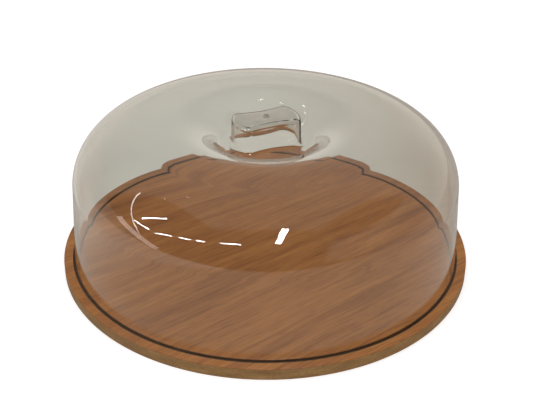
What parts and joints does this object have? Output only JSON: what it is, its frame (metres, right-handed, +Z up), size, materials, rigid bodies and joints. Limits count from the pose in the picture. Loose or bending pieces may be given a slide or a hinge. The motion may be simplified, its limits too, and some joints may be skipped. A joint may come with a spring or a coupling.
{
  "type": "cake dome with board",
  "caption": "Round veneered serving board with a rim groove, and a clear moulded dome that stands in the groove and lifts off by a bow-tie handle sunk in its top.",
  "frame": {"origin": "centre of the board's underside, on the dome's axis", "axes": "+Z up along the dome's axis; +X along the bow-tie handle's long axis"},
  "size_m": [0.3, 0.3, 0.1135],
  "materials": {
    "fibreboard": "lacquered fibreboard edge",
    "bamboo_veneer": "satin lacquered carbonised bamboo",
    "clear_plastic": "clear polished moulded plastic"
  },
  "bodies": {
    "board": {"board_core": "fibreboard", "veneer_panel": "bamboo_veneer", "veneer_rim": "bamboo_veneer", "veneer_backing": "bamboo_veneer"},
    "dome": {"dome_shell": "clear_plastic"}
  },
  "joints": [
    {"name": "dome_lift", "type": "slide", "parent": "board", "child": "dome", "axis": [0, 0, 1], "range_m": [0, 0.15]}
  ]
}
